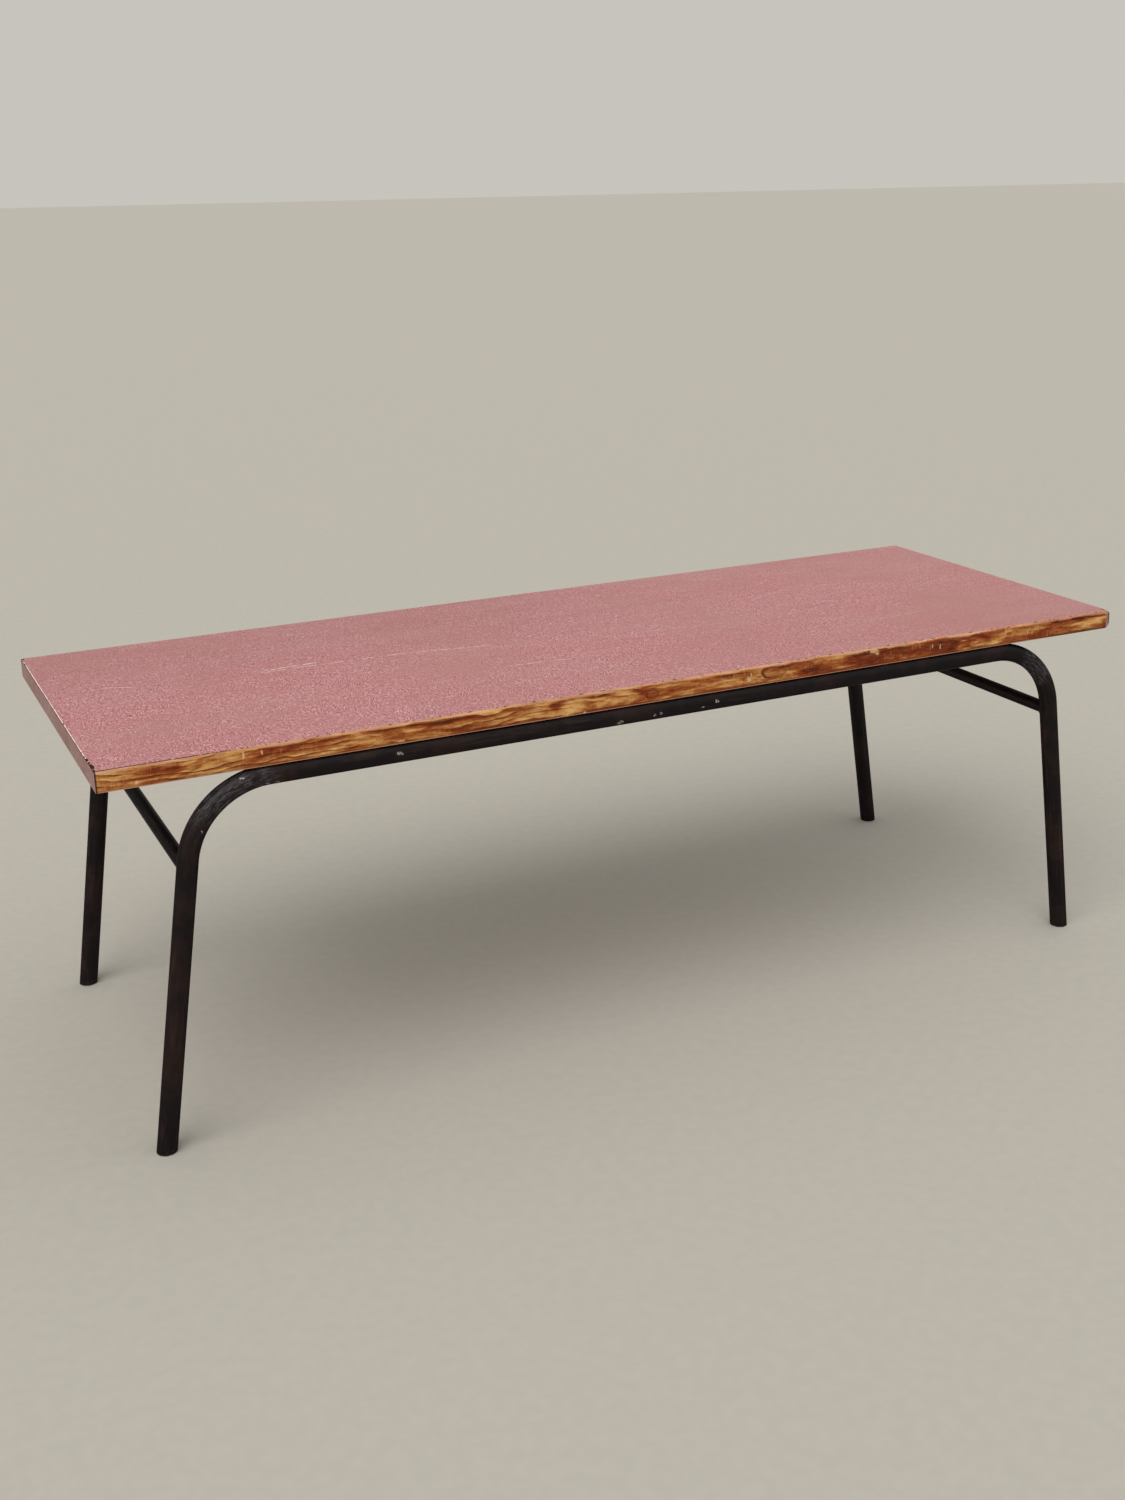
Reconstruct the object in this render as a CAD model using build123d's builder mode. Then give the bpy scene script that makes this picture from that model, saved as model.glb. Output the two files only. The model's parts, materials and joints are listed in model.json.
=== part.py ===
"""A long canteen table: a laminate-faced panel top with solid wood edges on a bent steel tube frame.

Frame of reference: millimetres, +Z up, origin on the floor under the middle of the top.
+X runs along the length, and -Y is the front long side.
"""

from build123d import *

import os
from math import atan2, cos, sin, tan

os.makedirs("parts", exist_ok=True)

# ---------------------------------------------------------------- driving dimensions
table_length = 2200.0
table_width = 780.0
table_height = 750.0

# top: a panel, faced above and below, with a solid wood lipping on each long edge and a band on each end
top_thickness = 39.0
laminate_thickness = 1.3
backing_thickness = 1.0
lipping_depth = 20.0
bare_lipping = 4.0  # strip of each lipping that the laminate leaves bare, rounded over
lower_arris = 1.5
end_bevel_run = 2.2  # bevel across the laminate's two short edges
end_bevel_drop = 1.0

# side frames: one tube each, bent into two legs and the rail under the top
tube_radius = 19.0
tube_wall = 1.5
rail_y = 377.0
foot_x = 1045.0  # leg centre line at the floor
knee_x = 935.0  # where the leg's and the rail's centre lines would cross
bend_radius = 160.0

# cross bars: one at each end, from front leg to back leg, just under the bends
bar_radius = 13.5
bar_wall = 1.5
bar_height = 541.0

# plugs that close the tubes at the floor
plug_head = 3.0
plug_stem = 25.0
plug_clearance = 0.05
plug_arris = 1.2

# lugs welded along the rails' inner sides, which the top is screwed down to
lug_stations = (-720.0, -250.0, 250.0, 720.0)
lug_length = 25.0
lug_thickness = 3.0
lug_inner_y = rail_y - 45.0
lug_outer_y = rail_y - 9.0
lug_corner = 5.0
screw_y = rail_y - 31.0

# slotted round-head wood screws
screw_radius = 2.5
screw_depth = 22.0  # how far the screw stands into the top
screw_point = 4.0
screw_head_radius = 4.75
screw_head_height = 3.0
screw_slot_width = 1.2
screw_slot_depth = 1.3
slot_turn = 47.0  # each screw was driven home at a different angle, in degrees
lug_hole_radius = 2.8
pilot_radius = 2.55
pilot_depth = 23.5

# welds
bead_width = 4.0
bead_chamfer = 2.4
lug_bead_radius = 3.6
lug_bead_length = 21.0
lug_bead_inset = 13.8  # bead's centre, in from the rail's centre line
lug_bead_drop = 2.3  # and below the lug

# ---------------------------------------------------------------- worked out from those
half_length = table_length / 2
half_width = table_width / 2
underside = table_height - top_thickness
under_laminate = table_height - laminate_thickness
core_half_length = half_length - laminate_thickness
core_half_width = half_width - lipping_depth
rail_height = underside - tube_radius
splay = atan2(foot_x - knee_x, rail_height)
bar_x = foot_x - bar_height * tan(splay)
lug_underside = underside - lug_thickness
screw_tip = underside + screw_depth
screw_head_bottom = lug_underside - screw_head_height
laminate_half_width = half_width - bare_lipping
below_floor = 40.0  # how far the legs run on before they are cut level
reach_x = foot_x + below_floor * tan(splay)

SIDES = {"front": -1, "back": 1}
ENDS = {"left": -1, "right": 1}


def finish(part, name):
    """Labels a finished piece and writes it as its own file."""
    part.label = name
    export_step(part, f"parts/{name}.step")


def leg_plane(end, side):
    """A plane at a leg's foot, with its Z up the leg's centre line."""
    return Plane(
        origin=(end * foot_x, side * rail_y, 0),
        x_dir=(cos(splay), 0, end * sin(splay)),
        z_dir=(-end * sin(splay), 0, cos(splay)),
    )


def screw_places():
    """Every fixing station, as (x, side)."""
    return [(x, side) for side in SIDES.values() for x in lug_stations]


# ---------------------------------------------------------------- the top
# The laminate's short edges are bevelled, so its outline is drawn from the front and run across.
with BuildPart() as laminate_top:
    with BuildSketch(Plane.XZ.offset(-laminate_half_width)):
        with BuildLine():
            Polyline(
                (-half_length, under_laminate),
                (-half_length, table_height - end_bevel_drop),
                (-half_length + end_bevel_run, table_height),
                (half_length - end_bevel_run, table_height),
                (half_length, table_height - end_bevel_drop),
                (half_length, under_laminate),
                close=True,
            )
        make_face()
    extrude(amount=2 * laminate_half_width)
finish(laminate_top.part, "laminate_top")

with BuildPart() as core_panel:
    with BuildSketch(Plane.XY.offset(underside + backing_thickness)):
        Rectangle(2 * core_half_length, 2 * core_half_width)
    extrude(amount=under_laminate - underside - backing_thickness)
    with BuildSketch(Plane.XY.offset(underside)):
        with Locations(*[(x, side * screw_y) for x, side in screw_places()]):
            Circle(pilot_radius)
    extrude(amount=pilot_depth, mode=Mode.SUBTRACT)
finish(core_panel.part, "core_panel")

with BuildPart() as backing_sheet:
    with BuildSketch(Plane.XY.offset(underside)):
        Rectangle(2 * core_half_length, 2 * core_half_width)
        with Locations(*[(x, side * screw_y) for x, side in screw_places()]):
            Circle(pilot_radius, mode=Mode.SUBTRACT)
    extrude(amount=backing_thickness)
finish(backing_sheet.part, "backing_sheet")

for side_name, side in SIDES.items():
    with BuildPart() as lipping:
        with BuildSketch(Plane.XY.offset(underside)):
            with Locations((0, side * (half_width - lipping_depth / 2))):
                Rectangle(2 * core_half_length, lipping_depth)
        extrude(amount=under_laminate - underside)
        outer_edges = lipping.faces().sort_by(Axis.Y)[0 if side < 0 else -1].edges().filter_by(Axis.X)
        fillet(outer_edges.sort_by(Axis.Z)[-1], radius=bare_lipping)
        outer_edges = lipping.faces().sort_by(Axis.Y)[0 if side < 0 else -1].edges().filter_by(Axis.X)
        fillet(outer_edges.sort_by(Axis.Z)[0], radius=lower_arris)
    finish(lipping.part, f"{side_name}_edge_lipping")

for end_name, end in ENDS.items():
    # a strip of laminate over the core's and the lippings' ends, trimmed to the lippings' outline
    with BuildPart() as end_band:
        with BuildSketch(Plane.YZ.offset(end * core_half_length)) as outline:
            with Locations((0, (underside + under_laminate) / 2)):
                Rectangle(table_width, under_laminate - underside)
            # the sketch's own Y runs up the band
            fillet(outline.vertices().group_by(Axis.Y)[-1], radius=bare_lipping)
            fillet(outline.vertices().group_by(Axis.Y)[0], radius=lower_arris)
        extrude(amount=end * laminate_thickness)
    finish(end_band.part, f"{end_name}_end_band")

# ---------------------------------------------------------------- the side frames
for side_name, side in SIDES.items():
    with BuildPart() as side_tube:
        with BuildLine(Plane.XZ.offset(-side * rail_y)) as centre_line:
            FilletPolyline(
                (-reach_x, -below_floor),
                (-knee_x, rail_height),
                (knee_x, rail_height),
                (reach_x, -below_floor),
                radius=bend_radius,
            )
        with BuildSketch(centre_line.line ^ 0):
            Circle(tube_radius)
            Circle(tube_radius - tube_wall, mode=Mode.SUBTRACT)
        sweep(path=centre_line.line)
        split(bisect_by=Plane.XY.offset(plug_head), keep=Keep.TOP)
    finish(side_tube.part, f"{side_name}_side_tube")

for end_name, end in ENDS.items():
    with BuildPart() as cross_bar:
        with BuildSketch(Plane.XZ.offset(-rail_y)):
            with Locations((end * bar_x, bar_height)):
                Circle(bar_radius)
                Circle(bar_radius - bar_wall, mode=Mode.SUBTRACT)
        extrude(amount=2 * rail_y)
        # each end is coped to sit round its leg
        for side in SIDES.values():
            with BuildSketch(leg_plane(end, side)):
                Circle(tube_radius)
            extrude(amount=table_height, mode=Mode.SUBTRACT)
    finish(cross_bar.part, f"{end_name}_cross_bar")

# The bead round each bar's end: all within a bead's width of both the leg and the bar.
cross_bar_beads = []
for end in ENDS.values():
    for side in SIDES.values():
        with BuildPart() as bead:
            with BuildSketch(Plane.XZ.offset(-side * rail_y)):
                with Locations((end * bar_x, bar_height)):
                    Circle(bar_radius + bead_width)
                    Circle(bar_radius, mode=Mode.SUBTRACT)
            extrude(amount=side * 2 * tube_radius)
            with BuildSketch(leg_plane(end, side)):
                Circle(tube_radius + bead_width)
            extrude(amount=table_height, mode=Mode.INTERSECT)
            with BuildSketch(leg_plane(end, side)):
                Circle(tube_radius)
            extrude(amount=table_height, mode=Mode.SUBTRACT)
            # the crest is the second longest edge, after the bead's outline on the leg
            chamfer(bead.edges().sort_by(SortBy.LENGTH)[-2], length=bead_chamfer)
        cross_bar_beads.append(bead.part)

with BuildPart() as cross_bar_welds:
    add(cross_bar_beads)
finish(cross_bar_welds.part, "cross_bar_welds")

# ---------------------------------------------------------------- foot plugs
for side_name, side in SIDES.items():
    for end_name, end in ENDS.items():
        with BuildPart() as plug_cap:
            with BuildSketch(leg_plane(end, side).offset(-below_floor)):
                Circle(tube_radius)
            extrude(amount=2 * below_floor)
            split(bisect_by=Plane.XY, keep=Keep.TOP)
            split(bisect_by=Plane.XY.offset(plug_head), keep=Keep.BOTTOM)
            fillet(plug_cap.faces().sort_by(Axis.Z)[0].edges(), radius=plug_arris)
        with BuildPart() as foot_plug:
            with BuildSketch(leg_plane(end, side).offset(-below_floor)):
                Circle(tube_radius - tube_wall - plug_clearance)
            extrude(amount=below_floor + plug_stem)
            split(bisect_by=Plane.XY.offset(plug_head / 2), keep=Keep.TOP)
            add(plug_cap.part)
        finish(foot_plug.part, f"foot_plug_{side_name}_{end_name}")

# ---------------------------------------------------------------- fixing lugs
for side_name, side in SIDES.items():
    for number, station in enumerate(lug_stations, start=1):
        with BuildPart() as lug:
            with BuildSketch(Plane.XY.offset(lug_underside)):
                with Locations((station, side * (lug_inner_y + lug_outer_y) / 2)):
                    Rectangle(lug_length, lug_outer_y - lug_inner_y)
                with Locations((station, side * screw_y)):
                    Circle(lug_hole_radius, mode=Mode.SUBTRACT)
            extrude(amount=lug_thickness)
            upright = lug.edges().filter_by(Axis.Z)
            inner_corners = upright.sort_by(Axis.Y)[-2:] if side < 0 else upright.sort_by(Axis.Y)[:2]
            fillet(inner_corners, radius=lug_corner)
            # the outer edge is ground to lie against the tube
            with BuildSketch(Plane.YZ.offset(station - lug_length)):
                with Locations((side * rail_y, rail_height)):
                    Circle(tube_radius)
            extrude(amount=2 * lug_length, mode=Mode.SUBTRACT)
        finish(lug.part, f"{side_name}_fixing_lug_{number}")

lug_beads = []
for station, side in screw_places():
    with BuildPart() as lug_bead:
        with BuildSketch(Plane.YZ.offset(station - lug_bead_length / 2)):
            with Locations((side * (rail_y - lug_bead_inset), lug_underside - lug_bead_drop)):
                Circle(lug_bead_radius)
            with Locations((side * rail_y, lug_underside + lug_bead_radius)):
                Rectangle(4 * tube_radius, 2 * lug_bead_radius, mode=Mode.SUBTRACT)
            with Locations((side * rail_y, rail_height)):
                Circle(tube_radius, mode=Mode.SUBTRACT)
        extrude(amount=lug_bead_length)
    lug_beads.append(lug_bead.part)

with BuildPart() as lug_welds:
    add(lug_beads)
finish(lug_welds.part, "lug_welds")

# ---------------------------------------------------------------- fixing screws
screws = []
for number, (station, side) in enumerate(screw_places()):
    with BuildPart() as screw:
        with BuildSketch(Plane.XZ.offset(-side * screw_y)):
            with BuildLine():
                Line((station, screw_head_bottom), (station, screw_tip))
                Line((station, screw_tip), (station + screw_radius, screw_tip - screw_point))
                Line((station + screw_radius, screw_tip - screw_point), (station + screw_radius, lug_underside))
                Line((station + screw_radius, lug_underside), (station + screw_head_radius, lug_underside))
                EllipticalCenterArc(
                    (station, lug_underside), screw_head_radius, screw_head_height, start_angle=270, arc_size=90
                )
            make_face()
        revolve(axis=Axis((station, side * screw_y, 0), (0, 0, 1)))
        with BuildSketch(Plane.XY.offset(screw_head_bottom)):
            with Locations((station, side * screw_y)):
                Rectangle(3 * screw_head_radius, screw_slot_width, rotation=number * slot_turn)
        extrude(amount=screw_slot_depth, mode=Mode.SUBTRACT)
    screws.append(screw.part)

with BuildPart() as fixing_screws:
    add(screws)
finish(fixing_screws.part, "fixing_screws")
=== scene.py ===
"""The looks of a long canteen table: a pink laminate top with worn wood edges on a black tube frame.

Everything is in metres in the frame's own axes: +Z up, -Y the front long side, -X the left end.
"""

import json
from functools import reduce
from math import atan2, ceil, cos, exp, hypot, pi, radians, sin, sqrt, tan

import bmesh
import bpy
from mathutils import Matrix, Vector, noise


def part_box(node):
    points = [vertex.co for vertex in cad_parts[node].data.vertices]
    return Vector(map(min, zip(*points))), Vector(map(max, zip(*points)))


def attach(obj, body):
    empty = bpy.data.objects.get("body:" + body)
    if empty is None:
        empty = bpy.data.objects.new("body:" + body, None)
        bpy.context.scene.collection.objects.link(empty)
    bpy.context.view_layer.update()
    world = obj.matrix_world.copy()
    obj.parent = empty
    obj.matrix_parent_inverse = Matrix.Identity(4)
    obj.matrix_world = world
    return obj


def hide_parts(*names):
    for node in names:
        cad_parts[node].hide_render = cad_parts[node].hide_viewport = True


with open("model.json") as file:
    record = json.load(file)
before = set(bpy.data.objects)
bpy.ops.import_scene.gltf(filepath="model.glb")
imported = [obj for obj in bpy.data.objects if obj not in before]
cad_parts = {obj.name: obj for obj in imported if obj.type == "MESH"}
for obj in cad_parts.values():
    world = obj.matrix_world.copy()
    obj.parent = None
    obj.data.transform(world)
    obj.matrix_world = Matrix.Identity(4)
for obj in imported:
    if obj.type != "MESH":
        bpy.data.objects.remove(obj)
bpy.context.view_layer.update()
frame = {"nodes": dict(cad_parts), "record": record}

# ---- sizes taken from the frame
MM = 0.001
SIDES = {"front": -1, "back": 1}
ENDS = {"left": -1, "right": 1}

top_low, top_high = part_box("laminate_top")
lipping_low, lipping_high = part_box("front_edge_lipping")
tube_low, tube_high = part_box("front_side_tube")
bar_low, bar_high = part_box("left_cross_bar")
lug_boxes = [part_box(f"front_fixing_lug_{number}") for number in range(1, 5)]
mounts = {mount["name"]: mount["pos_m"] for mount in frame["record"]["mounts"]}

half_length = top_high.x
table_height = top_high.z
under_laminate = top_low.z
laminate_half_width = top_high.y
half_width = -lipping_low.y
lipping_depth = lipping_high.y - lipping_low.y
core_half_length = lipping_high.x
underside = lipping_low.z
tube_radius = (tube_high.y - tube_low.y) / 2
rail_y = -(tube_high.y + tube_low.y) / 2
rail_height = tube_high.z - tube_radius
plug_head = tube_low.z
foot_x = -mounts["foot_front_left"][0]
bar_radius = (bar_high.z - bar_low.z) / 2
bar_height = (bar_high.z + bar_low.z) / 2
bar_x = -(bar_high.x + bar_low.x) / 2
splay = atan2(foot_x - bar_x, bar_height)
lug_underside = lug_boxes[0][0].z
lug_stations = [(low.x + high.x) / 2 for low, high in lug_boxes]
lug_bead_length = 2 * (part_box("lug_welds")[1].x - max(lug_stations))

# ---- sizes of the fine detail
bend_radius = 160 * MM
bare_strip = half_width - laminate_half_width  # the lipping's rounded upper arris, left bare by the laminate
lower_arris = 1.5 * MM
bevel_run = 2.2 * MM  # across the laminate's two short edges
bevel_drop = 1.0 * MM
decor_depth = 0.6  # share of that bevel that is painted as white decor paper with a painted glint, the rest being dark core
knocked_reach = 26 * MM  # how far in from the front the knocked right corner reaches
knocked_top_radius = 7 * MM
knocked_bottom_radius = 13 * MM
bead_width = 3.6 * MM
lug_bead_radius = 3.2 * MM
lug_bead_inset = 14.2 * MM  # in from the rail's centre line
lug_bead_drop = 1.8 * MM  # down from the lug's underside


# ---- building meshes
def loft(rings, joined_ends=False):
    """Faces over closed rings of equal length, as (vertices, faces), capped unless the ends are joined."""
    count = len(rings[0])
    vertices = [point for ring in rings for point in ring]
    faces = []
    rows = len(rings) if joined_ends else len(rings) - 1
    for row in range(rows):
        here = row * count
        there = (row + 1) % len(rings) * count
        for i in range(count):
            j = (i + 1) % count
            faces.append((here + i, here + j, there + j, there + i))
    if not joined_ends:
        faces.append(tuple(reversed(range(count))))
        faces.append(tuple(range((len(rings) - 1) * count, len(rings) * count)))
    return vertices, faces


def joined(*parts):
    """Several (vertices, faces) as one."""
    vertices = []
    faces = []
    for part_vertices, part_faces in parts:
        start = len(vertices)
        vertices.extend(part_vertices)
        faces.extend(tuple(start + index for index in face) for face in part_faces)
    return vertices, faces


def add_piece(name, shape, materials, replaced, sharp_angle=40, face_material=None, along=None):
    """Makes a mesh piece on the root body. along gives each vertex's (lengthwise, round) place in metres."""
    vertices, faces = shape
    mesh = bpy.data.meshes.new(name)
    mesh.from_pydata([tuple(vertex) for vertex in vertices], [], faces)
    for material in materials:
        mesh.materials.append(material)
    if face_material:
        for polygon in mesh.polygons:
            polygon.material_index = face_material(polygon.center, polygon.normal)
    if along:
        layer = mesh.uv_layers.new(name="along")
        for loop in mesh.loops:
            layer.data[loop.index].uv = along[loop.vertex_index]
    mesh.shade_smooth()
    mesh.set_sharp_from_angle(angle=radians(sharp_angle))
    piece = bpy.data.objects.new(name, mesh)
    bpy.context.collection.objects.link(piece)
    make_normals_point_out(mesh)
    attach(piece, "root")
    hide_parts(*replaced)


def make_normals_point_out(mesh):
    """Turns every face of a closed mesh outward."""
    work = bmesh.new()
    work.from_mesh(mesh)
    bmesh.ops.recalc_face_normals(work, faces=work.faces)
    work.to_mesh(mesh)
    work.free()


def knocked_corner(point, top):
    """Rounds the right front corner, where the table has been knocked. top is the piece's highest z there."""
    x, y, z = point
    nearness = bump_at(y + half_width, knocked_reach)
    if x < 0 or nearness < 0.01:
        return (x, y, z)
    corners = ((top, 1, knocked_top_radius), (underside, -1, knocked_bottom_radius))
    for level, direction, full_radius in corners:
        radius = full_radius * nearness
        out = x - (half_length - radius)
        up = (z - level) * direction + radius
        reach = hypot(out, up)
        if out > 0 and up > 0 and reach > radius:
            x = half_length - radius + out * radius / reach
            z = level + direction * (up * radius / reach - radius)
    return (x, y, z)


def in_metres(lengths, rows):
    """Rows of a table with each row's first values, which are lengths in millimetres, turned into metres."""
    return [(*(value * MM for value in row[:lengths]), *row[lengths:]) for row in rows]


def spread(low, high, steps):
    """Evenly spaced values from low to high, both included."""
    return [low + (high - low) * i / steps for i in range(steps + 1)]


def round_angles(steps):
    """The angles of that many points evenly round a circle."""
    return spread(0.0, 2 * pi, steps)[:-1]


def bump_at(distance, width):
    """A smooth hump, 1 at no distance and almost 0 beyond the width."""
    return exp(-((distance / width) ** 2) * 2)


# ---- building materials
def rgb(red, green, blue):
    """A colour as seen, 0 to 255, as the linear colour that the shader takes."""
    seen = [channel / 255 for channel in (red, green, blue)]
    linear = [c / 12.92 if c <= 0.04045 else ((c + 0.055) / 1.055) ** 2.4 for c in seen]
    return (*linear, 1)


class Graph:
    """One material's nodes. Each method adds nodes and returns the socket that carries the result."""

    def __init__(self, name):
        self.material = bpy.data.materials.new(name)
        self.material.use_nodes = True
        self.tree = self.material.node_tree
        self.tree.nodes.clear()
        self.coordinates = self.node("TexCoord")
        self.place = self.coordinates.outputs["Object"]
        split = self.node("SeparateXYZ", {0: self.place})
        self.x, self.y, self.z = split.outputs
        self.colour = None  # each material sets its base colour and then paints over it

    def node(self, kind, inputs=(), **settings):
        made = self.tree.nodes.new("ShaderNode" + kind)
        for key, value in settings.items():
            setattr(made, key, value)
        for key, value in dict(inputs).items():
            if isinstance(value, bpy.types.NodeSocket):
                self.tree.links.new(value, made.inputs[key])
            else:
                made.inputs[key].default_value = value
        return made

    def math(self, operation, a, b=0.0):
        return self.node("Math", {0: a, 1: b}, operation=operation).outputs[0]

    def combined(self, operation, values):
        """The values taken one after another through the same operation."""
        return reduce(lambda a, b: self.math(operation, a, b), values)

    def add(self, *values):
        return self.combined("ADD", values)

    def subtract(self, a, b):
        return self.math("SUBTRACT", a, b)

    def times(self, *values):
        return self.combined("MULTIPLY", values)

    def blend_of(self, *masks):
        """The strongest of several masks."""
        return self.combined("MAXIMUM", masks)

    def vector(self, x, y):
        return self.node("CombineXYZ", {0: x, 1: y}).outputs[0]

    def vector_math(self, operation, a, b=(0, 0, 0), output="Vector"):
        return self.node("VectorMath", {0: a, 1: b}, operation=operation).outputs[output]

    def stretched(self, place, x, y, z):
        return self.vector_math("MULTIPLY", place, (x, y, z))

    def moved(self, place, offset):
        return self.vector_math("ADD", place, offset)

    def noise(self, place, scale, detail=2.0, roughness=0.5, distortion=0.0):
        inputs = {"Vector": place, "Scale": scale, "Detail": detail, "Roughness": roughness}
        return self.node("TexNoise", {**inputs, "Distortion": distortion}).outputs[0]

    def grain(self, place, scales, detail=2.0, roughness=0.5, distortion=0.0):
        """A noise with its own scale along each axis."""
        return self.noise(self.stretched(place, *scales), 1.0, detail, roughness, distortion)

    def centred(self, value, amount):
        """A value from 0 to 1 as one from -amount / 2 to amount / 2."""
        return self.times(self.subtract(value, 0.5), amount)

    def step(self, value, low, high, start=0.0, end=1.0):
        """Runs smoothly from start to end as the value goes from low to high."""
        inputs = {"Value": value, "From Min": low, "From Max": high, "To Min": start, "To Max": end}
        return self.node("MapRange", inputs, interpolation_type="SMOOTHSTEP").outputs[0]

    def ramp(self, value, stops):
        """A colour ramp through (position, colour) stops."""
        made = self.node("ValToRGB", {0: value})
        elements = made.color_ramp.elements
        while len(elements) < len(stops):
            elements.new(0.5)
        for element, (position, colour) in zip(elements, stops):
            element.position = position
            element.color = colour
        return made.outputs[0]

    def mix(self, share, first, second):
        return self.node("Mix", {0: share, 6: first, 7: second}, data_type="RGBA").outputs[2]

    def paint(self, mask, tint, strength=None):
        """Lays a tint over the colour so far, where the mask says."""
        if strength:
            mask = self.times(mask, strength)
        self.colour = self.mix(mask, self.colour, tint)

    def wobble(self, scale, amount, stretch=(1, 1, 1)):
        """A noise from -amount to amount, to make outlines ragged."""
        return self.centred(self.noise(self.stretched(self.place, *stretch), scale, 3.0), amount * 2)

    def near(self, centre, size, wobble=0.0, soft=0.3):
        """A mask round a point: 1 inside the (x, y, z) half sizes, its outline moved by the wobble."""
        gap = self.vector_math("SUBTRACT", self.place, centre)
        scaled = self.vector_math("DIVIDE", gap, size)
        distance = self.add(self.vector_math("LENGTH", scaled, output="Value"), wobble)
        return self.step(distance, 1 + soft / 2, 1 - soft)

    def scratch(self, x, y, end_x, end_y, width):
        """A mask along a thin straight line on the top."""
        length = hypot(end_x - x, end_y - y)
        direction = ((end_x - x) / length, (end_y - y) / length, 0)
        across_direction = (-direction[1], direction[0], 0)
        flat = self.stretched(self.vector_math("SUBTRACT", self.place, (x, y, 0)), 1, 1, 0)
        lengthwise = self.vector_math("DOT_PRODUCT", flat, direction, "Value")
        across = self.vector_math("DOT_PRODUCT", flat, across_direction, "Value")
        # the line wanders a little and fades at both ends
        wander = self.centred(self.noise(self.place, 14.0, 1), 4 * width)
        off_line = self.math("ABSOLUTE", self.add(across, wander))
        line = self.step(off_line, width, width * 0.3)
        starting = self.step(lengthwise, 0, length * 0.15)
        ending = self.step(lengthwise, length, length * 0.8)
        broken = self.step(self.noise(self.place, 60.0, 2), 0.36, 0.56)
        return self.times(line, starting, ending, broken)

    def finish(self, roughness, height=None, height_scale=0.1 * MM, specular=0.5, metallic=0.0):
        """Ends the graph in a principled shader. height runs from 0 to 1, and height_scale is in metres."""
        inputs = {
            "Base Color": self.colour,
            "Roughness": roughness,
            "Specular IOR Level": specular,
            "Metallic": metallic,
        }
        if height:
            bump = self.node("Bump", {"Strength": 1.0, "Distance": height_scale, "Height": height})
            inputs["Normal"] = bump.outputs[0]
        shader = self.node("BsdfPrincipled", inputs)
        self.node("OutputMaterial", {"Surface": shader.outputs[0]})
        return self.material


# ---- laminate
def hatched_pattern(graph, flat, seed):
    """The printed pattern, 0 to 1: patches of short curved strokes, each patch turned its own way."""
    swirl = graph.node("TexNoise", {"Vector": flat, "Scale": 30.0, "Detail": 1.0}).outputs["Color"]
    centred = graph.moved(swirl, (-0.5, -0.5, -0.5))
    curve = graph.stretched(centred, 14 * MM, 14 * MM, 0)
    shifted = graph.moved(graph.moved(flat, curve), (seed, seed * 0.7, 0))
    patches = graph.node("TexVoronoi", {"Vector": shifted, "Scale": 50.0}, voronoi_dimensions="2D")
    local = graph.vector_math("SUBTRACT", shifted, patches.outputs["Position"])
    lot = graph.node("SeparateColor", {0: patches.outputs["Color"]}).outputs
    # the strokes run roughly across the table, each patch leaning its own way and printed its own strength
    lean = graph.add(graph.times(lot[0], 1.4), pi / 2 - 0.7)
    turned = graph.node("VectorRotate", {"Vector": local, "Angle": lean}, rotation_type="Z_AXIS").outputs[0]
    strokes = graph.stretched(turned, 80.0, 560.0, 1.0)
    apart = graph.vector(graph.times(lot[1], 40.0), graph.times(lot[2], 40.0))
    printed = graph.subtract(graph.noise(graph.moved(strokes, apart), 1.0, 1.0, 0.4), 0.5)
    return graph.add(graph.times(printed, graph.step(lot[2], 0.0, 1.0, 0.5, 1.6)), 0.5)


def laminate_material(name, flat_axes, grime_and_shade, scratches=()):
    """Pink decorative laminate. flat_axes says which two axes lie in the sheet."""
    graph = Graph(name)
    axes = {"x": graph.x, "y": graph.y, "z": graph.z}
    flat = graph.vector(axes[flat_axes[0]], axes[flat_axes[1]])
    first = hatched_pattern(graph, flat, 0.31)
    second = hatched_pattern(graph, flat, 1.73)
    strokes = graph.times(graph.add(first, second), 0.5)
    graph.colour = graph.ramp(strokes, [
        (0.38, rgb(134, 74, 80)),
        (0.46, rgb(168, 101, 106)),
        (0.53, rgb(182, 116, 120)),
        (0.61, rgb(218, 160, 162)),
    ])
    # random faded patches, with painted shade added lengthwise so that the top turns browner towards the
    # right end
    fading = graph.add(graph.noise(graph.place, 2.2, 3.0, 0.55), graph.step(graph.x, -0.7, 0.9, -0.04, 0.14))
    graph.paint(graph.step(fading, 0.38, 0.72, 0.0, 0.7), rgb(170, 111, 106))
    specks = graph.noise(flat, 260.0, 2.0)
    graph.paint(graph.step(specks, 0.55, 0.8, 0.0, 0.35), rgb(122, 70, 74))
    # painted shade: the back left of the top is painted darker and browner
    back_left_shade = graph.times(graph.step(graph.x, 0.45, -0.1), graph.step(graph.y, -0.1, 0.3))
    graph.paint(back_left_shade, rgb(134, 80, 74), 0.24)
    if scratches:
        lines = graph.blend_of(*[graph.scratch(*scratch) for scratch in scratches])
        graph.paint(lines, rgb(246, 226, 222))
    # grime darkens the sheet a little; on the end bands' copy the darkening is much stronger, painted shade
    # on the end faces
    grime_and_shade_mask = graph.times(graph.step(graph.noise(graph.place, 24.0, 4.0, 0.65), 0.25, 0.65, 0.6, 1.0), grime_and_shade)
    graph.paint(grime_and_shade_mask, rgb(98, 82, 68))
    smears = graph.grain(graph.place, (3.0, 9.0, 9.0), 4.0, 0.6)
    roughness = graph.step(smears, 0.3, 0.7, 0.36, 0.5)
    return graph.finish(roughness, strokes, 0.05 * MM)


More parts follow.
